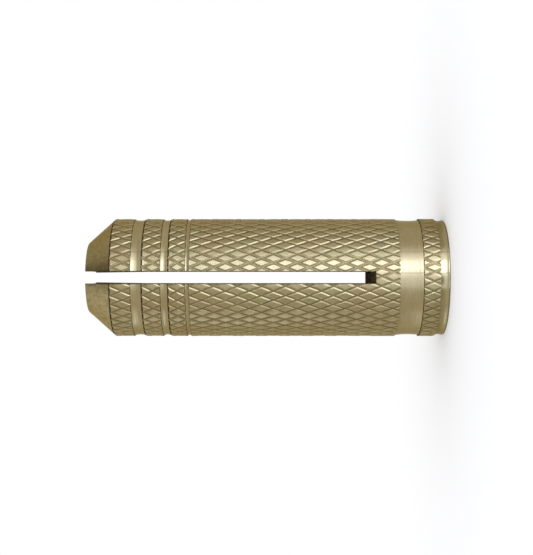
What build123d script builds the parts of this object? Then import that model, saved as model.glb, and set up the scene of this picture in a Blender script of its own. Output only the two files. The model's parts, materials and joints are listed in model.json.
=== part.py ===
from build123d import *
from math import atan2, ceil, cos, floor, pi, radians, sin, tan
import os

# A knurled brass sleeve that is pushed into a drilled hole and spread by a bolt.
# Sizes are in millimetres and angles in degrees. The sleeve stands on its mouth:
# Z = 0 is the mouth face, the axis is Z, and the slotted tip is at the top.

# Whole sleeve, with the cone that leads it into its hole
LENGTH = 30.0
CONE_HALF_ANGLE = 41.5

# Threaded bore, as wide as the crests of its thread, and the wall round it
THREAD_CREST_DIAMETER = 6.647
BODY_WALL = 1.66
COUNTERSINK_DEPTH = 0.78
COUNTERSINK_HALF_ANGLE = 45

# Narrow bore of the tip, which the bolt drives apart, and the wall round it
TIP_BORE_DIAMETER = 4.0
TIP_BORE_LENGTH = 6.4
TIP_WALL = 0.95
TAPER_HALF_ANGLE = 20

# Zones above the mouth, in order
RIM_WIDTH = 0.84
MOUTH_BAND_WIDTH = 1.43
NECK_WIDTH = 1.92

# Zones below the cone, in order
FIRST_BAND_WIDTH = 1.6
FIRST_GROOVE_WIDTH = 0.93
SECOND_BAND_WIDTH = 1.51
SECOND_GROOVE_WIDTH = 0.7
THIRD_BAND_WIDTH = 1.33
THIRD_GROOVE_WIDTH = 0.35

# Diamond knurl: flat diamonds between V grooves
KNURL_COUNT = 40
KNURL_DEPTH = 0.08
DIAMOND_SHARE = 0.6
MAIN_PITCH = 1.955
MAIN_PHASE = 0.45
MOUTH_BAND_PITCH = 1.85
FIRST_BAND_PITCH = 1.9

# Turned reliefs between the knurled bands, measured down from the knurl's grooves,
# with a slope up to the band above
RELIEF_BELOW_KNURL = 0.05
SLOPE_BELOW_KNURL = 0.01
FIRST_SLOPE_RUN = 0.36
SECOND_SLOPE_RUN = 0.25
THIRD_SLOPE_RUN = 0.17
DISH_DEPTH = 0.03
LIP_CHAMFER = 0.08

# How deep below the knurl's grooves the cone has cut before the knurl ends
CONE_BELOW_KNURL = 0.05

# Crossed saw slots, cut from the tip towards the mouth
SLOT_COUNT = 2
SLOT_WIDTH = 1.0
SLOT_BOTTOM = 6.1

# How far a cut runs past the sleeve, and how near points and directions count as one
OVERCUT = 1.0
SAME_POINT = 1e-6
ANGLE_DIGITS = 6

# Sizes that follow from the ones above
thread_radius = THREAD_CREST_DIAMETER / 2
outer_radius = thread_radius + BODY_WALL
groove_radius = outer_radius - KNURL_DEPTH
relief_radius = groove_radius - RELIEF_BELOW_KNURL
tip_bore_radius = TIP_BORE_DIAMETER / 2
tip_radius = tip_bore_radius + TIP_WALL
cone_slope = tan(radians(CONE_HALF_ANGLE))
cone_bottom = LENGTH - (outer_radius - tip_radius) / cone_slope
first_groove_top = cone_bottom - FIRST_BAND_WIDTH
second_band_top = first_groove_top - FIRST_GROOVE_WIDTH
second_groove_top = second_band_top - SECOND_BAND_WIDTH
third_band_top = second_groove_top - SECOND_GROOVE_WIDTH
third_groove_top = third_band_top - THIRD_BAND_WIDTH
main_band_top = third_groove_top - THIRD_GROOVE_WIDTH
mouth_band_top = RIM_WIDTH + MOUTH_BAND_WIDTH
main_band_bottom = mouth_band_top + NECK_WIDTH


class Knurl:
    """A skin of flat diamonds between crossing V grooves, all round the sleeve.

    Lattice point (row, column) lies half a pitch up for each row and half a
    diamond round for each column. A diamond sits on every point whose row and
    column add up to an even number, and the grooves cross on all the others.
    """

    def __init__(self, centre, pitch):
        self.centre = centre
        self.row_height = pitch / 2
        self.column_angle = pi / KNURL_COUNT
        self.flat_radius = outer_radius * cos(DIAMOND_SHARE * self.column_angle)
        self.flat_share = self.plane_flank_share()

    def plane_flank_share(self):
        """Share of a row that a diamond's flat reaches, so that its flanks are plane."""
        side = self.flat_radius * tan(DIAMOND_SHARE * self.column_angle)
        reach = groove_radius * sin(self.column_angle) - side
        drop = self.flat_radius - groove_radius
        side_drop = self.flat_radius - groove_radius * cos(self.column_angle)
        return 1 / (1 + drop * reach / (side * side_drop))

    def point(self, row, column, radius):
        angle = column * self.column_angle
        height = self.centre + row * self.row_height
        return (radius * cos(angle), radius * sin(angle), height)

    def end_of_flat(self, row, column, up):
        return self.point(row + up * self.flat_share, column, self.flat_radius)

    def side_of_flat(self, row, column, turn):
        return self.point(row, column + turn * DIAMOND_SHARE, outer_radius)

    def flat(self, row, column):
        """Outline of the level top of a diamond."""
        return [
            self.end_of_flat(row, column, 1),
            self.side_of_flat(row, column, 1),
            self.end_of_flat(row, column, -1),
            self.side_of_flat(row, column, -1),
        ]

    def flank(self, row, column, up, turn):
        """Outline of one sloped side of a diamond, down to the groove beside it."""
        return [
            self.end_of_flat(row, column, up),
            self.point(row + up, column, groove_radius),
            self.point(row, column + turn, groove_radius),
            self.side_of_flat(row, column, turn),
        ]

    def outlines(self, bottom, top):
        """Outlines of the faces of all diamonds that reach between two heights."""
        first_row = floor((bottom - self.centre) / self.row_height)
        last_row = ceil((top - self.centre) / self.row_height)
        for row in range(first_row, last_row + 1):
            for column in range(row % 2, 2 * KNURL_COUNT, 2):
                yield self.flat(row, column)
                for up in (1, -1):
                    for turn in (1, -1):
                        yield self.flank(row, column, up, turn)


def point_at_level(start, end, level):
    """The point of a straight edge that lies at a level."""
    share = (level - start[2]) / (end[2] - start[2])
    x, y = (a + share * (b - a) for a, b in zip(start[:2], end[:2]))
    return (x, y, level)


def cut_level(outline, level, side):
    """The part of a plane outline above a level (side 1) or below it (side -1)."""
    kept = []
    for before, here in zip(outline[-1:] + outline[:-1], outline):
        height, height_before = (side * (point[2] - level) for point in (here, before))
        if min(height, height_before) < -SAME_POINT and max(height, height_before) > SAME_POINT:
            kept.append(point_at_level(before, here, level))
        if abs(height) <= SAME_POINT:
            kept.append((*here[:2], level))
        elif height > 0:
            kept.append(here)
    return kept


def end_outline(outlines, level):
    """Outline of the flat end of a band, through all points that lie at its level."""
    ends = {}
    for x, y, z in (point for outline in outlines for point in outline):
        if z == level:
            ends[round(atan2(y, x), ANGLE_DIGITS)] = (x, y, z)
    return [ends[angle] for angle in sorted(ends)]


def knurled_band(bottom, top, centre, pitch):
    """A solid disc with a knurled rim, and a ring of diamonds at the height of its centre."""
    outlines = []
    for outline in Knurl(centre, pitch).outlines(bottom, top):
        part = cut_level(cut_level(outline, bottom, 1), top, -1)
        if len(set(part)) > 2:
            outlines.append(part)
    ends = [end_outline(outlines, level) for level in (bottom, top)]
    return Solid(Shell([Face(Wire.make_polygon(outline)) for outline in outlines + ends]))


def one_pitch_band(bottom, top):
    """A knurled band that is as wide as its diamonds are long."""
    return knurled_band(bottom, top, (bottom + top) / 2, top - bottom)


def turned(*outline):
    """A solid turned about the axis from points (radius, height), bottom to top."""
    points = [(radius, 0, height) for radius, height in outline]
    foot = (0, 0, outline[0][1])
    head = (0, 0, outline[-1][1])
    return revolve(make_face(Polyline(foot, *points, head, close=True)), Axis.Z)


def groove(bottom, top, slope_run):
    """A turned groove: a steep step below, a level floor, and a slope up to the band."""
    return turned(
        (relief_radius, bottom),
        (relief_radius, top - slope_run),
        (groove_radius - SLOPE_BELOW_KNURL, top),
    )


def hollow_length(bottom, top):
    """A turned length between two heights whose side is slightly hollow."""
    side = ThreePointArc(
        (relief_radius, 0, bottom),
        (relief_radius - DISH_DEPTH, 0, (bottom + top) / 2),
        (relief_radius, 0, top),
    )
    rest = Polyline(side @ 1, (0, 0, top), (0, 0, bottom), side @ 0)
    return revolve(make_face([side, rest]), Axis.Z)


def mouth_rim():
    """The bare rim at the mouth, with its outer corner broken."""
    corner = turned((relief_radius - LIP_CHAMFER, 0), (relief_radius, LIP_CHAMFER))
    return [corner, hollow_length(LIP_CHAMFER, RIM_WIDTH)]


def tip():
    """The last knurled band under the cone, which cuts scallops into the band's edge."""
    scallop_top = cone_bottom + (KNURL_DEPTH + CONE_BELOW_KNURL) / cone_slope
    centre = (first_groove_top + cone_bottom) / 2
    band = knurled_band(first_groove_top, scallop_top, centre, FIRST_BAND_PITCH)
    nose_radius = groove_radius - CONE_BELOW_KNURL / 2
    nose = turned((nose_radius, scallop_top), (nose_radius, LENGTH))
    foot_radius = outer_radius + (cone_bottom - first_groove_top) * cone_slope
    cone = turned((foot_radius, first_groove_top), (tip_radius, LENGTH))
    return band.fuse(nose, glue=True) & cone


def knurled_bar():
    """The sleeve before it is bored and slotted."""
    main_centre = main_band_bottom + MAIN_PHASE
    mouth_centre = RIM_WIDTH + MOUTH_BAND_WIDTH / 2
    lengths = [
        *mouth_rim(),
        knurled_band(RIM_WIDTH, mouth_band_top, mouth_centre, MOUTH_BAND_PITCH),
        hollow_length(mouth_band_top, main_band_bottom),
        knurled_band(main_band_bottom, main_band_top, main_centre, MAIN_PITCH),
        groove(main_band_top, third_groove_top, THIRD_SLOPE_RUN),
        one_pitch_band(third_groove_top, third_band_top),
        groove(third_band_top, second_groove_top, SECOND_SLOPE_RUN),
        one_pitch_band(second_groove_top, second_band_top),
        groove(second_band_top, first_groove_top, FIRST_SLOPE_RUN),
        tip(),
    ]
    return lengths[0].fuse(*lengths[1:], glue=True)


def bore():
    """The space inside the sleeve: countersink, threaded bore, taper and tip bore."""
    sink_radius = thread_radius + COUNTERSINK_DEPTH * tan(radians(COUNTERSINK_HALF_ANGLE))
    taper_length = (thread_radius - tip_bore_radius) / tan(radians(TAPER_HALF_ANGLE))
    taper_top = LENGTH - TIP_BORE_LENGTH
    return turned(
        (sink_radius, -OVERCUT),
        (sink_radius, 0),
        (thread_radius, COUNTERSINK_DEPTH),
        (thread_radius, taper_top - taper_length),
        (tip_bore_radius, taper_top),
        (tip_bore_radius, LENGTH + OVERCUT),
    )


def slots():
    """The saw cuts that part the tip into equal fingers."""
    size = (2 * (outer_radius + OVERCUT), SLOT_WIDTH, LENGTH + OVERCUT - SLOT_BOTTOM)
    cut = Pos(0, 0, SLOT_BOTTOM) * Box(*size, align=(Align.CENTER, Align.CENTER, Align.MIN))
    return [Rot(0, 0, turn * 180 / SLOT_COUNT) * cut for turn in range(SLOT_COUNT)]


def anchor_sleeve():
    """The whole sleeve, one solid."""
    return knurled_bar() - [bore(), *slots()]


os.makedirs("parts", exist_ok=True)
export_step(anchor_sleeve(), "parts/anchor_sleeve.step")
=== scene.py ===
import json
from math import cos, pi, radians, sin, tan

import bmesh
import bpy
import numpy as np
from mathutils import Matrix, Vector, noise

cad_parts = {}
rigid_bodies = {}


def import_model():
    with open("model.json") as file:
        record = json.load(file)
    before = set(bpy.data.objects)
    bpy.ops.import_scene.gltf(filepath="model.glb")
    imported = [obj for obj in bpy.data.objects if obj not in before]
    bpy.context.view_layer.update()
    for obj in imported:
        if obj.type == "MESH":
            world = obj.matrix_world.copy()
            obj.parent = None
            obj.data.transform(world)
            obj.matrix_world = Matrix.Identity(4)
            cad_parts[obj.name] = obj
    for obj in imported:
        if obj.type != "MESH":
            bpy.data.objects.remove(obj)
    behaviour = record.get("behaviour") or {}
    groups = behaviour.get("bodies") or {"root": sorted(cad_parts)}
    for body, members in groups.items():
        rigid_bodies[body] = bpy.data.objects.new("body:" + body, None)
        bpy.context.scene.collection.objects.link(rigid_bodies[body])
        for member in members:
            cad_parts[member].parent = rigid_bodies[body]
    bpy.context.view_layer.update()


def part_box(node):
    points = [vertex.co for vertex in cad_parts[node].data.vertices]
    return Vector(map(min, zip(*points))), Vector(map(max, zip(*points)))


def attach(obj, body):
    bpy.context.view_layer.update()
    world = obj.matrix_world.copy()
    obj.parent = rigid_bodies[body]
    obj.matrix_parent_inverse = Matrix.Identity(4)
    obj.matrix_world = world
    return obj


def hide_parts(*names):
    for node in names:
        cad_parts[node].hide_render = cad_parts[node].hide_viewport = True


# Looks of a knurled brass sleeve that stands on its mouth, axis up. Sizes are in
# millimetres and angles in degrees. Meshes are made in metres.
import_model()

METRES = 0.001
SLEEVE = "anchor_sleeve"
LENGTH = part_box(SLEEVE)[1].z / METRES

# Radii of the knurl's flats and of the turned faces
FLAT_RADIUS = 4.9835
RIM_RADIUS = 4.868
NECK_RADIUS = 4.873
NARROW_GROOVE_RADIUS = 4.865
WIDE_GROOVE_RADIUS = 4.895
CONE_FOOT_RADIUS = 4.85
TIP_RADIUS = 2.95

# Hollow floors: the smallest radius of the rim and of the neck, and the wide grooves' depth
DISH_RADIUS = 4.823
WIDE_GROOVE_HOLLOW = 0.04

# Heights of the zones' edges, from the mouth up
LIP_TOP = 0.12
RIM_TOP = 0.84
MOUTH_BAND_TOP = 2.1
MAIN_BAND_BOTTOM = 4.19
MAIN_BAND_TOP = 21.29
THIRD_BAND_BOTTOM = 21.63
THIRD_BAND_TOP = 22.9
SECOND_BAND_BOTTOM = 23.66
SECOND_BAND_TOP = 25.06
FIRST_BAND_BOTTOM = 26.1
CONE_BOTTOM = 27.7

# Lip at the mouth, rounded by points that give how far in and how high they lie
LIP_ROUNDING = ((0.1, 0), (0.045, 0.012), (0.014, 0.045))

# Heights of the steps and slopes that lead to and from the turned floors
RIM_SLOPE = 0.17
NECK_STEP = 0.06
NECK_SLOPE = 0.24
WIDE_GROOVE_STEP = 0.16
WIDE_GROOVE_SLOPE = 0.05

# Turned floors: how far above the step they start, how much farther out they end, and how
# far out the edge of the band below them is pressed
FLOOR_START = 0.02
FLOOR_RISE = 0.01
EDGE_BURR = 0.012

# Narrow groove: rise and height of its floor's points over its foot, and its shoulder
NARROW_GROOVE_FLOOR = ((0.03, 0.17), (0.025, 0.2))
NARROW_GROOVE_SHOULDER = (0.06, 0.05)

# How far out the turned outline stays clear of the knurl, and how soon it gets there
CLEAR_OF_KNURL = 0.06
CLEAR_ABOVE_RIM = 0.04
CLEAR_BELOW_STEP = 0.03
CLEAR_ABOVE_SLOPE = 0.1
CLEAR_BELOW_NARROW_GROOVE = 0.1
CLEAR_ABOVE_NARROW_GROOVE = 0.05
CLEAR_BELOW_CONE = 0.5

# Cone: how far its cutting solid's flank runs on below it, the height of the solid's
# shoulder there, and the size of the tip's broken edge
CONE_RUN = 1
CONE_SHOULDER = 0.5
TIP_EDGE = 0.02

# Diamond knurl: columns round the sleeve, two to a diamond, the share of a column by which
# they are turned, and the depth
COLUMNS = 80
KNURL_TURN = 0.12
KNURL_DEPTH = 0.062

# A diamond's rings, as shares of the way from its middle to its groove. There are rings on
# both sides of where the flat and the flank end, which softens those edges.
RING_SHARES = (0, 0.55, 0.59, 0.63, 0.81, 0.85, 1)
FLAT_SHARE = 0.61
FLANK_SHARE = 0.83
FLANK_DEPTH = 0.055
SIDE_STEPS = 3

# Knurled bands from the mouth up: height of the middle row, length of the diamonds, and
# rows to either side
KNURL_BANDS = (
    (1.33, 1.85, 1),
    (12.454, 1.9545, 9),
    (22.24, 1.45, 1),
    (24.27, 1.56, 1),
    (26.79, 1.9, 1),
)

# Unevenness of the rolled knurl: size of its patches, and how deep and how far it goes
WEAR_SIZE = 0.9
WEAR_DEPTH = 0.01
WOBBLE_SIZE = 0.8
WOBBLE = 0.03

# Bore: countersink, thread, taper and tip bore
COUNTERSINK_RADIUS = 4.1035
COUNTERSINK_DEPTH = 0.78
CREST_RADIUS = 3.3235
ROOT_RADIUS = 3.98
THREAD_PITCH = 1.25
THREAD_TOP = 19.6
BORE_TOP = 19.964
TAPER_TOP = 23.6
TIP_BORE_RADIUS = 2.0

# One turn of the thread: shares of the pitch where its crest starts and ends and where its
# root starts and ends, and how far inside the crests its cutter's core lies
THREAD_SHARES = (0, 0.12, 0.46, 0.62)
THREAD_CORE_GAP = 0.05

# Crossed saw slots. The bottom of the one that shows is lower towards the lens.
SLOT_WIDTH = 1.0
SLOT_BOTTOM = 6.1
SLOT_LEAN = 0.07
SLOT_EDGE = 0.06

# Burrs in the slot near the tip: depth of their root, reach behind the axis, and the height
# and thickness of each end. The lower end lies just inside the brass.
BURR_ROOT = 0.05
BURR_REACH = (2.1, 2.8)
BURR_ENDS = ((24.5, -0.005), (29.8, 0.08))

# Corners of a box, face by face, where x changes slowest and z fastest
BOX_FACES = [[0, 1, 3, 2], [4, 6, 7, 5], [0, 4, 5, 1], [2, 3, 7, 6], [0, 2, 6, 4], [1, 5, 7, 3]]

# Fineness of turned faces, and how far a cutting solid runs past the sleeve
TURNED_STEPS = 216
THREAD_STEPS = 72
ARC_STEPS = 10
OVERCUT = 1.5
SHARP_ANGLE = 20

# Finishes, in the order of a piece's material slots
KNURLED, FLANKED, GROOVED, TURNED, CONE, SAWN, THREADED, GRIME_AND_SHADE = range(8)

# Steepness, as the height of a face's normal, from which its corner gets painted dirt and shade
STEP_STEEPNESS = 0.5
UNDERSIDE_STEEPNESS = -0.75

# Brass, from its palest faces to the dirt and painted shade in its corners
BRASS_PALE = (0.38, 0.31, 0.16, 1)
BRASS = (0.3, 0.242, 0.116, 1)
BRASS_DARK = (0.27, 0.214, 0.095, 1)
BRASS_DULL = (0.235, 0.185, 0.078, 1)
BRASS_WARM = (0.25, 0.182, 0.075, 1)
BRASS_BLOOM = (0.29, 0.213, 0.097, 1)
BRASS_IN_GROOVES = (0.2, 0.156, 0.06, 1)
BRASS_TARNISHED = (0.11, 0.083, 0.036, 1)
BRASS_SAWN = (0.09, 0.068, 0.03, 1)
DARK_DIRT_AND_SHADE = (0.03, 0.021, 0.009, 1)
DRY_DIRT_AND_SHADE = (0.055, 0.04, 0.018, 1)
SLOT_DIRT_AND_SHADE = (0.2, 0.145, 0.06, 1)

# Depth below the turned floors at which the painted dirt and shade has the slot's colour
SLOT_DIRT_AND_SHADE_DEPTH = 0.3

# Colours of the brass at grazing angles
EDGE_TINT = (0.52, 0.425, 0.245, 1)
CONE_EDGE_TINT = (0.62, 0.53, 0.37, 1)

# Clear coat, whose sharp reflections lie over the brass's soft ones
COAT = 0.3
COAT_ROUGHNESS = 0.18

# Range that holds most values of a noise
MIDDLE = (0.3, 0.7)

# Marks on the turned faces: scratches by angle and strength, and a smudge on the rim
SCRATCHES = ((25.5, 0.5), (4.3, 0.7))
SCRATCH_WIDTH = 0.9
SMUDGE = (-0.25, -4.85, 0.7)
SMUDGE_SHAPE = (0.6, 1, 0.28)
SMUDGE_CORE = 0.3
SMUDGE_STRENGTH = 0.85

# Photograph's view: the sleeve's axis runs across the picture, mouth to the right
VIEW_DISTANCE = 102.4
VIEW_HEIGHT = 14.97
LENS = 77.9
CLIP_START = 1

# Studio: a white room with softboxes. Each has its range of angles from the lens's
# direction towards the picture's top, its distance and its glow. The first three stand
# one behind another, so their glows add up.
ROOM = 1.0
FLOOR_REACH = 2000
CORE_SIDES = (9, 35)
KEY_SIDES = (4, 49)
OUTER_SIDES = (4, 60)
FILL_SIDES = (-21, 4)
LOW_SIDES = (-106, -70)
SOFTBOXES = {
    "core": (CORE_SIDES, 196, 5.0),
    "key": (KEY_SIDES, 198, 2.0),
    "outer": (OUTER_SIDES, 200, 1.1),
    "fill": (FILL_SIDES, 260, 1.7),
    "side": (LOW_SIDES, 300, 2.2),
}
DAYLIGHT = (0.5, 0.61, 1)
LAMP_TOP_ANGLE = 7.5

# Cards on the floor carry all softboxes but the last on to the sleeve's foot: the range of
# angles of each, the softboxes whose glows it adds up, the nearest first, and its layer
CARDS = (
    ("outer_card", (KEY_SIDES[1], OUTER_SIDES[1]), ("outer",), 1),
    ("key_card", KEY_SIDES, ("key", "outer"), 1),
    ("core_card", CORE_SIDES, ("core", "key", "outer"), 2),
    ("fill_card", FILL_SIDES, ("fill",), 1),
)
CARD_START = 4.9
CARD_HEIGHT = 0.03
CARD_ARC_STEPS = 12

# A faint ceiling above the softboxes and the sleeve
CEILING_HEIGHT = 120
CEILING_SIDES = ((-14, -70), (28, -70), (28, 90), (-14, 90))
CEILING_GLOW = 0.15


def clear_scene():
    """Remove any lamp or camera that is there before the studio is made."""
    for obj in list(bpy.context.scene.objects):
        if obj.type in ("LIGHT", "CAMERA"):
            bpy.data.objects.remove(obj)


def mesh_object(name, vertices, faces, face_finishes):
    """An object from points in millimetres and the finish of each face."""
    mesh = bpy.data.meshes.new(name)
    mesh.from_pydata((np.asarray(vertices) * METRES).tolist(), [], faces)
    mesh.update()
    obj = bpy.data.objects.new(name, mesh)
    bpy.context.scene.collection.objects.link(obj)
    for material in finishes:
        mesh.materials.append(material)
    mesh.polygons.foreach_set("material_index", face_finishes)
    outward(mesh)
    return obj


def outward(mesh):
    """Turn all faces of a closed mesh outward."""
    work = bmesh.new()
    work.from_mesh(mesh)
    bmesh.ops.recalc_face_normals(work, faces=work.faces)
    work.to_mesh(mesh)
    work.free()


def boolean(obj, other, operation):
    """Combine two closed objects into the first, and delete the second."""
    modifier = obj.modifiers.new("cut", "BOOLEAN")
    modifier.operation = operation
    modifier.solver = "MANIFOLD"
    modifier.object = other
    graph = bpy.context.evaluated_depsgraph_get()
    mesh = bpy.data.meshes.new_from_object(obj.evaluated_get(graph))
    obj.modifiers.clear()
    obj.data = mesh
    bpy.data.objects.remove(other)


def close_ring(vertices, faces, ring, height):
    """Close a ring of points with a fan of faces about a point on the axis."""
    centre = len(vertices)
    vertices.append((0, 0, height))
    faces.extend([a, b, centre] for a, b in zip(ring, ring[1:] + ring[:1]))


def knurl_rows():
    """Heights of the lattice rows, and the rows that lie between bands.

    Diamonds sit on even columns in even rows.
    """
    rows = []
    gaps = []
    for centre, pitch, reach in KNURL_BANDS:
        first = centre - reach * pitch / 2
        gaps.append(len(rows))
        rows.append((rows[-1] + first) / 2 if rows else first - pitch / 2)
        rows.extend(centre + step * pitch / 2 for step in range(-reach, reach + 1))
    return [*rows, LENGTH + OVERCUT], gaps


def groove_drop(share):
    """How far below the flats the knurl lies, at a share of the way to the groove."""
    return np.interp(share, (FLAT_SHARE, FLANK_SHARE, 1), (0, FLANK_DEPTH, KNURL_DEPTH))


def skin_finish(share):
    """Finish of the part of a diamond that starts at a share of the way to the groove."""
    if share > FLANK_SHARE:
        return GROOVED
    return FLANKED if share > FLAT_SHARE else KNURLED


def diamond_quarter(row, column, up, turn):
    """Faces of a quarter of a diamond: finish, and lattice points (column, row, drop)."""
    rings = []
    for share in RING_SHARES:
        steps = SIDE_STEPS if share else 0
        ring = []
        for step in range(steps + 1):
            along = step / SIDE_STEPS
            sideways = column + turn * share * (1 - along)
            ring.append((sideways % COLUMNS, row + up * share * along, groove_drop(share)))
        rings.append(ring)
    for share, inner, outer in zip(RING_SHARES, rings, rings[1:]):
        for step in range(SIDE_STEPS):
            if len(inner) == 1:
                yield skin_finish(share), [inner[0], outer[step], outer[step + 1]]
            else:
                corners = [inner[step], outer[step], outer[step + 1], inner[step + 1]]
                yield skin_finish(share), corners


def lattice_faces(row_count):
    """All faces of the knurl's skin, each with its finish and its lattice points."""
    for row in range(row_count):
        for column in range(row % 2, COLUMNS, 2):
            for up in (-1, 1):
                if 0 <= row + up < row_count:
                    for turn in (-1, 1):
                        yield from diamond_quarter(row, column, up, turn)


def worn(radius, angle, height):
    """A point of the knurl with the slight unevenness of rolled work."""
    place = Vector((radius * cos(angle), radius * sin(angle), height))
    radius += WEAR_DEPTH * noise.noise(place / WEAR_SIZE)
    shift = noise.noise_vector(place / WOBBLE_SIZE) * WOBBLE
    angle += shift.x / radius
    return (radius * cos(angle), radius * sin(angle), height + shift.y)


def knurl_point(column, row, drop, heights, gaps):
    """The place of a lattice point, which lies a little farther out between bands."""
    height = np.interp(row, np.arange(len(heights)), heights)
    angle = 2 * pi * (column + KNURL_TURN) / COLUMNS
    into_gap = max(0, 1 - min(abs(row - gap) for gap in gaps))
    return worn(FLAT_RADIUS - drop + into_gap * KNURL_DEPTH, angle, height)


def knurled_bar():
    """A closed bar with the knurl's skin, from below the mouth to above the tip."""
    heights, gaps = knurl_rows()
    places = {}
    vertices = []
    faces = []
    face_finishes = []
    for finish, points in lattice_faces(len(heights)):
        corners = []
        for column, row, drop in points:
            key = (round(column, 4) % COLUMNS, round(row, 4))
            if key not in places:
                places[key] = len(vertices)
                vertices.append(knurl_point(column, row, drop, heights, gaps))
            corners.append(places[key])
        faces.append(corners)
        face_finishes.append(finish)
    for row in (0, len(heights) - 1):
        rim = sorted((key[0], index) for key, index in places.items() if key[1] == row)
        close_ring(vertices, faces, [index for _, index in rim], heights[row])
        face_finishes.extend([KNURLED] * len(rim))
    return mesh_object("bar", vertices, faces, face_finishes)


def turned(name, outline, finish, steps=TURNED_STEPS):
    """A closed solid turned about the axis from points (radius, height)."""
    vertices = [(0, 0, outline[0][1]), (0, 0, outline[-1][1])]
    for radius, height in outline:
        for step in range(steps):
            angle = 2 * pi * step / steps
            vertices.append((radius * cos(angle), radius * sin(angle), height))
    faces = []
    last = 2 + (len(outline) - 1) * steps
    for step in range(steps):
        after = (step + 1) % steps
        faces.append([0, 2 + after, 2 + step])
        faces.append([1, last + step, last + after])
        for level in range(2, last, steps):
            faces.append([level + step, level + after, level + steps + after, level + steps + step])
    return mesh_object(name, vertices, faces, [finish] * len(faces))


def hollow(start, end, depth):
    """Points (radius, height) of a slightly hollow side between two points."""
    points = []
    for step in range(ARC_STEPS + 1):
        share = step / ARC_STEPS
        radius = start[0] + share * (end[0] - start[0]) - 4 * depth * share * (1 - share)
        points.append((radius, start[1] + share * (end[1] - start[1])))
    return points


def relief(bottom, top, radius, depth, step, slope):
    """A turned relief between two bands: a step, a hollow floor and a slope up from it."""
    floor_start = (radius, bottom + step + FLOOR_START)
    floor_end = (radius + FLOOR_RISE, top - slope)
    return [
        (FLAT_RADIUS + CLEAR_OF_KNURL, bottom - CLEAR_BELOW_STEP),
        (FLAT_RADIUS + EDGE_BURR, bottom),
        (radius, bottom + step),
        *hollow(floor_start, floor_end, depth),
        (FLAT_RADIUS, top),
        (FLAT_RADIUS + CLEAR_OF_KNURL, top + CLEAR_ABOVE_SLOPE),
    ]


def rim_outline():
    """Side of the rim at the mouth, from its lip to the slope below the first knurl."""
    rounding = [(RIM_RADIUS - inset, height) for inset, height in LIP_ROUNDING]
    dish_top = (RIM_RADIUS, RIM_TOP - RIM_SLOPE)
    dish = hollow((RIM_RADIUS, LIP_TOP), dish_top, RIM_RADIUS - DISH_RADIUS)
    return [*rounding, *dish, (FLAT_RADIUS, RIM_TOP)]


def narrow_groove_outline():
    """Side of the narrow groove between the long band and the third one."""
    drop, width = NARROW_GROOVE_SHOULDER
    floor = [
        (NARROW_GROOVE_RADIUS + rise, MAIN_BAND_TOP + height)
        for rise, height in NARROW_GROOVE_FLOOR
    ]
    return [
        (FLAT_RADIUS, MAIN_BAND_TOP),
        *floor,
        (FLAT_RADIUS - drop, THIRD_BAND_BOTTOM - width),
        (FLAT_RADIUS, THIRD_BAND_BOTTOM),
    ]


def body_outline():
    """Side of the sleeve where it is turned, kept clear of the knurled bands."""
    clear = FLAT_RADIUS + CLEAR_OF_KNURL
    neck = (NECK_RADIUS, NECK_RADIUS - DISH_RADIUS, NECK_STEP, NECK_SLOPE)
    wide = (WIDE_GROOVE_RADIUS, WIDE_GROOVE_HOLLOW, WIDE_GROOVE_STEP, WIDE_GROOVE_SLOPE)
    return [
        *rim_outline(),
        (clear, RIM_TOP + CLEAR_ABOVE_RIM),
        *relief(MOUTH_BAND_TOP, MAIN_BAND_BOTTOM, *neck),
        (clear, MAIN_BAND_TOP - CLEAR_BELOW_NARROW_GROOVE),
        *narrow_groove_outline(),
        (clear, THIRD_BAND_BOTTOM + CLEAR_ABOVE_NARROW_GROOVE),
        *relief(THIRD_BAND_TOP, SECOND_BAND_BOTTOM, *wide),
        *relief(SECOND_BAND_TOP, FIRST_BAND_BOTTOM, *wide),
        (clear, CONE_BOTTOM - CLEAR_BELOW_CONE),
    ]


def turned_body():
    """The turned solid that the knurled bar is cut to, with its cone."""
    slope = (FLAT_RADIUS - TIP_RADIUS) / (LENGTH - CONE_BOTTOM)
    body = turned("body", [*body_outline(), (FLAT_RADIUS, LENGTH)], TURNED)
    foot = CONE_BOTTOM - CONE_RUN
    outline = [
        (FLAT_RADIUS + OVERCUT, -OVERCUT),
        (FLAT_RADIUS + OVERCUT, foot - CONE_SHOULDER),
        (FLAT_RADIUS + slope * (CONE_BOTTOM - foot), foot),
        (CONE_FOOT_RADIUS, CONE_BOTTOM + (FLAT_RADIUS - CONE_FOOT_RADIUS) / slope),
        (TIP_RADIUS + TIP_EDGE * slope, LENGTH - TIP_EDGE),
        (TIP_RADIUS - TIP_EDGE, LENGTH),
    ]
    boolean(body, turned("cone", outline, CONE), "INTERSECT")
    return body


def bore_cutter():
    """Space of the bore, without its thread."""
    outline = [
        (COUNTERSINK_RADIUS + OVERCUT, -OVERCUT),
        (CREST_RADIUS, COUNTERSINK_DEPTH),
        (CREST_RADIUS, BORE_TOP),
        (TIP_BORE_RADIUS, TAPER_TOP),
        (TIP_BORE_RADIUS, LENGTH + OVERCUT),
    ]
    return turned("bore", outline, THREADED, THREAD_STEPS * 2)


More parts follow.
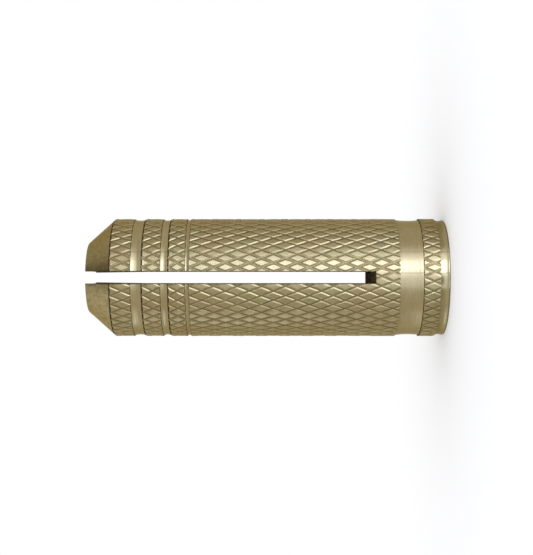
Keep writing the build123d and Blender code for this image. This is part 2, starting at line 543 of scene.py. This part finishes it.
def thread_cutter():
    """Space of the thread's grooves, a spiral on a core inside the bore."""
    bottom = -2 * THREAD_PITCH
    turns = int((THREAD_TOP - bottom) / THREAD_PITCH) + 1
    core = CREST_RADIUS - THREAD_CORE_GAP
    corners = tuple(zip(THREAD_SHARES, (core, core, ROOT_RADIUS, ROOT_RADIUS)))
    levels = [(turn + share, radius) for turn in range(turns) for share, radius in corners]
    vertices = []
    for step in range(THREAD_STEPS):
        angle = 2 * pi * step / THREAD_STEPS
        for share, radius in levels:
            height = bottom + (share + step / THREAD_STEPS) * THREAD_PITCH
            vertices.append((radius * cos(angle), radius * sin(angle), height))
    count = len(levels)
    seam = len(corners)
    faces = []
    for step in range(THREAD_STEPS - 1):
        here = step * count
        after = here + count
        faces.extend([here + k, after + k, after + k + 1, here + k + 1] for k in range(count - 1))
    # At the seam, each turn meets the next one up
    last = (THREAD_STEPS - 1) * count
    faces.extend([last + k, k + seam, k + seam + 1, last + k + 1] for k in range(count - seam - 1))
    low = [step * count for step in range(THREAD_STEPS)] + list(range(seam, 0, -1))
    high = [step * count + count - 1 for step in range(THREAD_STEPS)]
    high += range(last + count - 2, last + count - 2 - seam, -1)
    for ring in (low, high):
        close_ring(vertices, faces, ring, vertices[ring[0]][2])
    return mesh_object("thread", vertices, faces, [THREADED] * len(faces))


def slot_cutter(width, depth, lean):
    """Space of a saw slot, whose bottom lies lower towards the lens where it leans."""
    vertices = []
    for x in (-1, 1):
        for y in (-1, 1):
            for z in (SLOT_BOTTOM + y * lean, LENGTH + OVERCUT):
                vertices.append((x * width / 2, y * depth / 2, z))
    return mesh_object("slot", vertices, BOX_FACES, [SAWN] * len(BOX_FACES))


def slot_burr(side):
    """A thin ridge that the saw left on one side of the slot, near the tip."""
    vertices = []
    for inner in (side > 0, side < 0):
        for y in BURR_REACH:
            for z, thickness in BURR_ENDS:
                outward_by = -thickness if inner else BURR_ROOT
                vertices.append((side * (SLOT_WIDTH / 2 + outward_by), y, z))
    return mesh_object("burr", vertices, BOX_FACES, [SAWN] * len(BOX_FACES))


def knurled_sleeve():
    """The whole sleeve as one closed mesh."""
    sleeve = knurled_bar()
    boolean(sleeve, turned_body(), "INTERSECT")
    boolean(sleeve, bore_cutter(), "DIFFERENCE")
    boolean(sleeve, thread_cutter(), "DIFFERENCE")
    across = 2 * (FLAT_RADIUS + OVERCUT)
    boolean(sleeve, slot_cutter(across, SLOT_WIDTH, 0), "DIFFERENCE")
    boolean(sleeve, slot_cutter(SLOT_WIDTH, across, SLOT_LEAN), "DIFFERENCE")
    for side in (-1, 1):
        boolean(sleeve, slot_burr(side), "UNION")
    dirt_and_painted_shade_in_corners(sleeve.data)
    sleeve.name = "knurled_sleeve"
    sleeve.data.shade_smooth()
    sleeve.data.set_sharp_from_angle(angle=radians(SHARP_ANGLE))
    return sleeve


def dirt_and_painted_shade_in_corners(mesh):
    """Paint dirt and shade on steep steps beside the bands, on the cone's foot and on slot bottoms.
    """
    for face in mesh.polygons:
        steepness = face.normal.z
        height = face.center.z / METRES
        if face.material_index == TURNED:
            step = steepness > STEP_STEEPNESS and height < CONE_BOTTOM
            underside = steepness < UNDERSIDE_STEEPNESS and height > MAIN_BAND_TOP
            gets_dirt_and_shade = step or underside
        elif face.material_index == CONE:
            gets_dirt_and_shade = face.center.xy.length / METRES > CONE_FOOT_RADIUS
        else:
            gets_dirt_and_shade = face.material_index == SAWN and steepness > STEP_STEEPNESS
        if gets_dirt_and_shade:
            face.material_index = GRIME_AND_SHADE


def fill(tree, socket, value):
    """Link an output to an input, or set the input to a plain value."""
    if isinstance(value, bpy.types.NodeSocket):
        tree.links.new(value, socket)
    else:
        socket.default_value = value


def add(tree, kind, inputs, **settings):
    """A new node, with its inputs filled by name or number."""
    made = tree.nodes.new(kind)
    for name, value in settings.items():
        setattr(made, name, value)
    for key, value in inputs.items():
        fill(tree, made.inputs[key], value)
    return made


def dress(tree, shader, **inputs):
    """Fill the shader's inputs, by name."""
    for name, value in inputs.items():
        fill(tree, shader.inputs[name.replace("_", " ")], value)


def maths(tree, operation, *values):
    """The result of a sum on numbers."""
    inputs = dict(enumerate(values))
    return add(tree, "ShaderNodeMath", inputs, operation=operation).outputs[0]


def vector_maths(tree, operation, *values):
    """The result of a sum on vectors."""
    inputs = dict(enumerate(values))
    return add(tree, "ShaderNodeVectorMath", inputs, operation=operation).outputs[0]


def vector_length(tree, vector):
    """The length of a vector."""
    made = add(tree, "ShaderNodeVectorMath", {0: vector}, operation="LENGTH")
    return made.outputs["Value"]


def parts_of(tree, vector):
    """The three numbers of a vector, by name."""
    return add(tree, "ShaderNodeSeparateXYZ", {0: vector}).outputs


def ranged(tree, value, source, target=(0, 1)):
    """A value carried from one range to another, and kept in it."""
    inputs = {"Value": value, 1: source[0], 2: source[1], 3: target[0], 4: target[1]}
    return add(tree, "ShaderNodeMapRange", inputs).outputs[0]


def mixed(tree, share, first, second):
    """A colour between two colours, from the mix node's colour sockets."""
    inputs = {0: share, 6: first, 7: second}
    return add(tree, "ShaderNodeMix", inputs, data_type="RGBA").outputs[2]


def bump(tree, height, depth, normal=None):
    """A normal bent by a height from 0 to 1, with its full depth in millimetres."""
    inputs = {"Height": height, "Distance": depth * METRES, "Strength": 1}
    if normal is not None:
        inputs["Normal"] = normal
    return add(tree, "ShaderNodeBump", inputs).outputs[0]


def place_in_millimetres(tree):
    """The surface point's place on the sleeve, in millimetres."""
    place = add(tree, "ShaderNodeTexCoord", {}).outputs["Object"]
    inputs = {0: place, "Scale": 1 / METRES}
    return add(tree, "ShaderNodeVectorMath", inputs, operation="SCALE").outputs[0]


def blotches(tree, place, size, detail=3.0, stretch=(1, 1, 1)):
    """Soft noise from 0 to 1, with patches of a size in millimetres."""
    scaled = vector_maths(tree, "MULTIPLY", place, stretch)
    inputs = {"Vector": scaled, "Scale": 1 / size, "Detail": detail}
    return add(tree, "ShaderNodeTexNoise", inputs).outputs["Fac"]


def turning_lines(tree, place, width):
    """Noise that changes only along the sleeve, as the marks of a turning tool do."""
    inputs = {"W": parts_of(tree, place)["Z"], "Scale": 1 / width, "Detail": 2.0}
    return add(tree, "ShaderNodeTexNoise", inputs, noise_dimensions="1D").outputs["Fac"]


def radius_share(tree, place, low, high):
    """0 at a low radius and 1 at a high one."""
    flat = vector_maths(tree, "MULTIPLY", place, (1, 1, 0))
    return ranged(tree, vector_length(tree, flat), (low, high))


def worn_colour(tree, place, dark, light, stretch=(1, 1, 1)):
    """Brass with lighter, darker and warmer patches."""
    patches = blotches(tree, place, size=0.8, detail=5, stretch=stretch)
    plain = mixed(tree, ranged(tree, patches, (0.38, 0.62)), dark, light)
    warmth = ranged(tree, blotches(tree, place, size=3.5, detail=2), (0.45, 0.7), (0, 0.8))
    return mixed(tree, warmth, plain, BRASS_WARM)


def axial_scratches(tree, place):
    """1 on thin straight scratches along the sleeve, and 0 elsewhere."""
    parts = parts_of(tree, place)
    side = maths(tree, "ARCTAN2", parts["X"], maths(tree, "MULTIPLY", parts["Y"], -1))
    total = 0
    for angle, strength in SCRATCHES:
        away = maths(tree, "ABSOLUTE", maths(tree, "SUBTRACT", side, radians(angle)))
        line = ranged(tree, away, (radians(SCRATCH_WIDTH), 0), (0, strength))
        total = maths(tree, "ADD", total, line)
    return total


def smudge(tree, place):
    """The strength of a dark smudge on the rim, and 0 away from it."""
    offset = vector_maths(tree, "SUBTRACT", place, SMUDGE)
    away = vector_length(tree, vector_maths(tree, "DIVIDE", offset, SMUDGE_SHAPE))
    return ranged(tree, away, (1, SMUDGE_CORE), (0, SMUDGE_STRENGTH))


def slot_edges(tree, place):
    """1 at the edges of the saw slots, where a dark line of painted shade goes, and 0 away from
    them.
    """
    parts = parts_of(tree, place)
    x = maths(tree, "ABSOLUTE", parts["X"])
    y = maths(tree, "ABSOLUTE", parts["Y"])
    edge = (SLOT_WIDTH / 2 + SLOT_EDGE / 2, SLOT_WIDTH / 2 + SLOT_EDGE)
    beside = ranged(tree, maths(tree, "MINIMUM", x, y), edge, (1, 0))
    above = ranged(tree, parts["Z"], (SLOT_BOTTOM - SLOT_EDGE, SLOT_BOTTOM))
    return maths(tree, "MULTIPLY", beside, above)


def brass(name):
    """A brass material, its node tree, its shader and the place on the sleeve."""
    material = bpy.data.materials.new(name)
    material.use_nodes = True
    tree = material.node_tree
    shader = tree.nodes["Principled BSDF"]
    dress(tree, shader, Metallic=1, Specular_Tint=EDGE_TINT)
    dress(tree, shader, Coat_Weight=COAT, Coat_Roughness=COAT_ROUGHNESS)
    return material, tree, shader, place_in_millimetres(tree)


def knurled_finish(name, roughness):
    """Rolled brass, with a fine grain."""
    material, tree, shader, place = brass(name)
    colour = worn_colour(tree, place, BRASS_DULL, BRASS_DARK)
    # Painted shade: a dark line along the slot edges
    edged = mixed(tree, slot_edges(tree, place), colour, DRY_DIRT_AND_SHADE)
    grain = blotches(tree, place, size=0.12, detail=4)
    rough = ranged(tree, grain, MIDDLE, roughness)
    grainy = bump(tree, grain, depth=0.0035)
    dress(tree, shader, Base_Color=edged, Roughness=rough, Normal=grainy)
    return material


def grooved_finish():
    """Dull brass in the bottoms of the knurl's grooves, darker than the flats as tarnish and
    painted shade.
    """
    material, tree, shader, place = brass("brass_grooved")
    patches = ranged(tree, blotches(tree, place, size=0.6), MIDDLE)
    colour = mixed(tree, patches, BRASS_TARNISHED, BRASS_IN_GROOVES)
    rough = ranged(tree, patches, (0, 1), (0.4, 0.5))
    dress(tree, shader, Base_Color=colour, Roughness=rough, Coat_Weight=0)
    return material


def dirt_and_painted_shade_finish():
    """Dirt and painted shade in corners and on slot bottoms."""
    material, tree, shader, place = brass("dirt_and_painted_shade_in_corners")
    patches = ranged(tree, blotches(tree, place, size=0.6), MIDDLE)
    inside = NARROW_GROOVE_RADIUS - SLOT_DIRT_AND_SHADE_DEPTH
    share = radius_share(tree, place, inside, NARROW_GROOVE_RADIUS)
    colour = mixed(tree, share, SLOT_DIRT_AND_SHADE, mixed(tree, patches, DARK_DIRT_AND_SHADE, DRY_DIRT_AND_SHADE))
    dress(tree, shader, Base_Color=colour, Metallic=0, Roughness=0.8)
    dress(tree, shader, Specular_IOR_Level=0, Coat_Weight=0)
    return material


def turned_finish():
    """Turned brass: fine lines round the sleeve, and highlights drawn out along it."""
    material, tree, shader, place = brass("brass_turned")
    coarse = turning_lines(tree, place, width=0.16)
    fine = turning_lines(tree, place, width=0.035)
    scratches = blotches(tree, place, size=0.08, detail=2, stretch=(1, 1, 0.03))
    dirty = smudge(tree, place)
    colour = worn_colour(tree, place, BRASS_DARK, BRASS, stretch=(1, 1, 2.5))
    colour = mixed(tree, ranged(tree, coarse, (0.45, 0.75), (0, 0.7)), colour, BRASS_DARK)
    colour = mixed(tree, axial_scratches(tree, place), colour, BRASS_TARNISHED)
    colour = mixed(tree, dirty, colour, BRASS_SAWN)
    # Painted shade: a dark line along the slot edges
    colour = mixed(tree, slot_edges(tree, place), colour, DRY_DIRT_AND_SHADE)
    rough = ranged(tree, coarse, MIDDLE, (0.24, 0.36))
    normal = bump(tree, coarse, depth=0.004)
    normal = bump(tree, fine, depth=0.0015, normal=normal)
    normal = bump(tree, scratches, depth=0.0025, normal=normal)
    coat = ranged(tree, dirty, (0, 1), (COAT, 0))
    dress(tree, shader, Base_Color=colour, Roughness=rough, Normal=normal, Coat_Weight=coat)
    return material


def cone_finish():
    """Dull turned brass with a warm bloom, and painted light that makes it paler on its side at -X.
    """
    material, tree, shader, place = brass("brass_cone")
    lines = turning_lines(tree, place, width=0.09)
    patches = blotches(tree, place, size=1.1)
    streaks = blotches(tree, place, size=0.25, detail=4, stretch=(1, 1, 0.4))
    bloom = mixed(tree, ranged(tree, patches, (0.35, 0.65)), BRASS_BLOOM, BRASS_DARK)
    # Painted light: paler towards -X, the side that faces down in the camera's view
    painted_light_fades_to_top = ranged(tree, parts_of(tree, place)["X"], (-1.5, 1))
    colour = mixed(tree, painted_light_fades_to_top, BRASS_PALE, bloom)
    colour = mixed(tree, ranged(tree, streaks, (0.4, 0.65), (0, 0.4)), colour, BRASS_TARNISHED)
    # Painted shade: a dark line along the slot edges
    colour = mixed(tree, slot_edges(tree, place), colour, DRY_DIRT_AND_SHADE)
    rough = ranged(tree, patches, MIDDLE, (0.32, 0.45))
    lined = bump(tree, lines, depth=0.003)
    dress(tree, shader, Base_Color=colour, Roughness=rough, Normal=lined)
    dress(tree, shader, Coat_Weight=0, Specular_Tint=CONE_EDGE_TINT)
    return material


def sawn_finish():
    """Sawn brass: dull walls with marks across them, their dark colour partly painted shade of the
    slot's inside.
    """
    material, tree, shader, place = brass("brass_sawn")
    marks = blotches(tree, place, size=0.05, detail=2, stretch=(1, 1, 0.1))
    patches = ranged(tree, blotches(tree, place, size=1.4), MIDDLE)
    colour = mixed(tree, patches, DRY_DIRT_AND_SHADE, BRASS_SAWN)
    rough = ranged(tree, marks, MIDDLE, (0.5, 0.65))
    marked = bump(tree, marks, depth=0.006)
    dress(tree, shader, Base_Color=colour, Roughness=rough, Normal=marked, Metallic=0.2)
    dress(tree, shader, Specular_IOR_Level=0, Specular_Tint=BRASS_SAWN, Coat_Weight=0)
    return material


def threaded_finish():
    """Cut brass inside the bore, with painted shade that darkens it down in the thread."""
    material, tree, shader, place = brass("brass_threaded")
    patches = ranged(tree, blotches(tree, place, size=0.9), MIDDLE)
    crests = mixed(tree, patches, BRASS_BLOOM, BRASS_PALE)
    colour = mixed(tree, radius_share(tree, place, CREST_RADIUS, ROOT_RADIUS), crests, BRASS)
    grain = blotches(tree, place, size=0.1)
    rough = ranged(tree, grain, MIDDLE, (0.4, 0.55))
    grainy = bump(tree, grain, depth=0.004)
    dress(tree, shader, Base_Color=colour, Roughness=rough, Normal=grainy, Metallic=0.25)
    return material


def look_as_photographed():
    """Place the camera, with the picture's top towards the sleeve's side at +X."""
    data = bpy.data.cameras.new("camera")
    data.lens = LENS
    data.clip_start = CLIP_START * METRES
    camera = bpy.data.objects.new("camera", data)
    bpy.context.scene.collection.objects.link(camera)
    right, up, back = Vector((0, 0, -1)), Vector((1, 0, 0)), Vector((0, -1, 0))
    turn = Matrix((right, up, back)).transposed().to_4x4()
    place = (0, -VIEW_DISTANCE * METRES, VIEW_HEIGHT * METRES)
    camera.matrix_world = Matrix.Translation(place) @ turn
    bpy.context.scene.camera = camera


def plain_material(name, colour, glow=0, tint=(1, 1, 1)):
    """A matt material, or a glowing one."""
    material = bpy.data.materials.new(name)
    material.use_nodes = True
    tree = material.node_tree
    shader = tree.nodes["Principled BSDF"]
    dress(tree, shader, Base_Color=colour, Roughness=1, Specular_IOR_Level=0)
    dress(tree, shader, Emission_Color=(*tint, 1), Emission_Strength=glow)
    return material


def stage_sheet(name, points, material):
    """One flat face that isn't part of the sleeve."""
    mesh = bpy.data.meshes.new(name)
    mesh.from_pydata((np.asarray(points) * METRES).tolist(), [], [list(range(len(points)))])
    mesh.materials.append(material)
    sheet = bpy.data.objects.new(name, mesh)
    bpy.context.scene.collection.objects.link(sheet)
    return sheet


def shown_in_brass(sheet):
    """Let a sheet show only in reflections."""
    sheet.visible_camera = False
    sheet.visible_diffuse = False
    sheet.visible_shadow = False


def floor_point(side, distance, height):
    """A point at an angle from the lens's direction, towards the picture's top."""
    return (distance * sin(radians(side)), -distance * cos(radians(side)), height)


def softbox(name):
    """An upright lamp that fills a range of angles, down to the floor."""
    sides, distance, glow = SOFTBOXES[name]
    width = 2 * distance * tan(radians(sides[1] - sides[0]) / 2)
    height = VIEW_HEIGHT + distance * tan(radians(LAMP_TOP_ANGLE))
    data = bpy.data.lights.new(name, "AREA")
    data.shape = "RECTANGLE"
    data.size = width * METRES
    data.size_y = height * METRES
    data.energy = glow * pi * data.size * data.size_y
    data.color = DAYLIGHT
    lamp = bpy.data.objects.new(name, data)
    bpy.context.scene.collection.objects.link(lamp)
    middle = sum(sides) / 2
    lamp.location = Vector(floor_point(middle, distance, height / 2)) * METRES
    away = Vector(floor_point(middle, 1, 0))
    lamp.rotation_euler = away.to_track_quat("Z", "Y").to_euler()
    lamp.visible_camera = False


def card(name, sides, softboxes, layer):
    """A bright card on the floor that carries softboxes on to the sleeve's foot.

    Brass mirrors a lamp where it faces half the lamp's angle, so the near edge is there.
    """
    distance = SOFTBOXES[softboxes[0]][1]
    glow = sum(SOFTBOXES[part][2] for part in softboxes)
    height = layer * CARD_HEIGHT
    angles = np.linspace(sides[0], sides[1], CARD_ARC_STEPS)
    near = [floor_point(angle / 2, CARD_START, height) for angle in angles]
    far = [floor_point(angle, distance, height) for angle in angles[::-1]]
    tint = [(ROOM + glow * part) / (ROOM + glow) for part in DAYLIGHT]
    glowing = plain_material(name, (0, 0, 0, 1), ROOM + glow, tint)
    shown_in_brass(stage_sheet(name, near + far, glowing))


def set_studio():
    """The floor, the lamps and their cards, the ceiling and the white room."""
    around = ((-1, -1), (1, -1), (1, 1), (-1, 1))
    corners = [(x * FLOOR_REACH, y * FLOOR_REACH, 0) for x, y in around]
    stage_sheet("floor", corners, plain_material("floor", (1, 1, 1, 1)))
    for name in SOFTBOXES:
        softbox(name)
    for name, sides, softboxes, layer in CARDS:
        card(name, sides, softboxes, layer)
    ceiling = [(x, y, CEILING_HEIGHT) for x, y in CEILING_SIDES]
    faint = plain_material("ceiling", (0, 0, 0, 1), CEILING_GLOW)
    shown_in_brass(stage_sheet("ceiling", ceiling, faint))
    world = bpy.data.worlds.new("studio")
    world.use_nodes = True
    background = world.node_tree.nodes["Background"]
    background.inputs["Color"].default_value = (1, 1, 1, 1)
    background.inputs["Strength"].default_value = ROOM
    bpy.context.scene.world = world
    bpy.context.scene.view_settings.view_transform = "Standard"


finishes = [
    knurled_finish("brass_knurled", (0.26, 0.38)),
    knurled_finish("brass_flanks", (0.33, 0.43)),
    grooved_finish(),
    turned_finish(),
    cone_finish(),
    sawn_finish(),
    threaded_finish(),
    dirt_and_painted_shade_finish(),
]

clear_scene()
sleeve = knurled_sleeve()
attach(sleeve, "root")
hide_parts(SLEEVE)

look_as_photographed()
set_studio()
